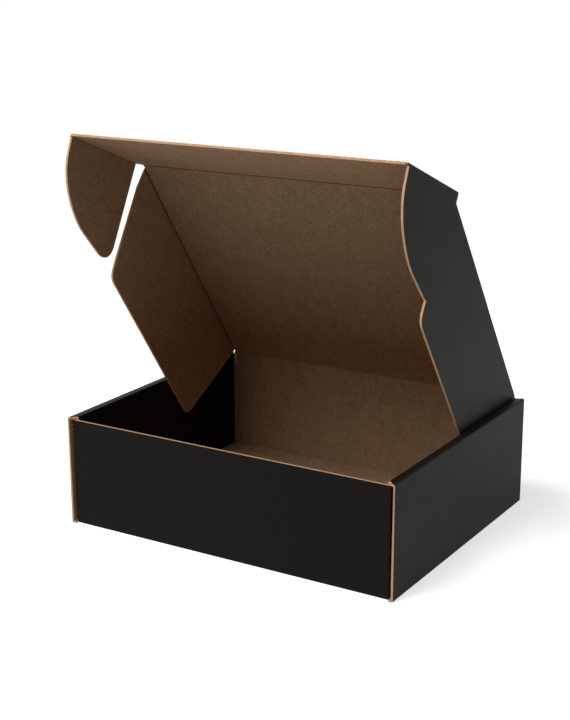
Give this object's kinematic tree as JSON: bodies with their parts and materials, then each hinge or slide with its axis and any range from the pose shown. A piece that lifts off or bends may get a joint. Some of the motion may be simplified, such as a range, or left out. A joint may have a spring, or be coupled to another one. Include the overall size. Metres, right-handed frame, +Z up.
{
  "type": "corrugated mailer box",
  "caption": "Flat corrugated mailer box with roll-over side walls and a hinged tuck lid, black outside and kraft inside, standing half open.",
  "frame": {"origin": "middle of the tray's underside, on the surface the box stands on", "axes": "+X across the box between its side walls, the longest side; +Y to the back wall that carries the lid; +Z up"},
  "size_m": [0.25, 0.198, 0.2679],
  "materials": {
    "printed_board": "single-wall corrugated board, smooth black print on the outer liner, bare brown kraft on the inner liner, tan cut edges"
  },
  "bodies": {
    "tray": {"tray": "printed_board"},
    "lid": {"lid": "printed_board"},
    "front_panel": {"front_panel": "printed_board"},
    "left_side_flap": {"left_side_flap": "printed_board"},
    "right_side_flap": {"right_side_flap": "printed_board"},
    "left_ear": {"left_ear": "printed_board"},
    "right_ear": {"right_ear": "printed_board"}
  },
  "joints": [
    {"name": "lid_hinge", "type": "hinge", "parent": "tray", "child": "lid", "pos_m": [0, 0.09795, 0.0773], "axis": [-1, 0, 0], "range_deg": [-32, 125]},
    {"name": "front_panel_crease", "type": "hinge", "parent": "lid", "child": "front_panel", "pos_m": [0, -0.01527, 0.239], "axis": [-1, 0, 0], "range_deg": [-56.5, 33.5]},
    {"name": "left_side_flap_crease", "type": "hinge", "parent": "lid", "child": "left_side_flap", "pos_m": [-0.11765, 0.09795, 0.0773], "axis": [0, -0.5736, 0.8192], "range_deg": [0, 40]},
    {"name": "right_side_flap_crease", "type": "hinge", "parent": "lid", "child": "right_side_flap", "pos_m": [0.11765, 0.09795, 0.0773], "axis": [0, 0.5736, -0.8192], "range_deg": [0, 40]},
    {"name": "left_ear_crease", "type": "hinge", "parent": "front_panel", "child": "left_ear", "pos_m": [-0.1226, -0.01527, 0.239], "axis": [0, 0.9304, -0.3665], "range_deg": [0, 90]},
    {"name": "right_ear_crease", "type": "hinge", "parent": "front_panel", "child": "right_ear", "pos_m": [0.1226, -0.01527, 0.239], "axis": [0, -0.9304, 0.3665], "range_deg": [0, 90]}
  ]
}
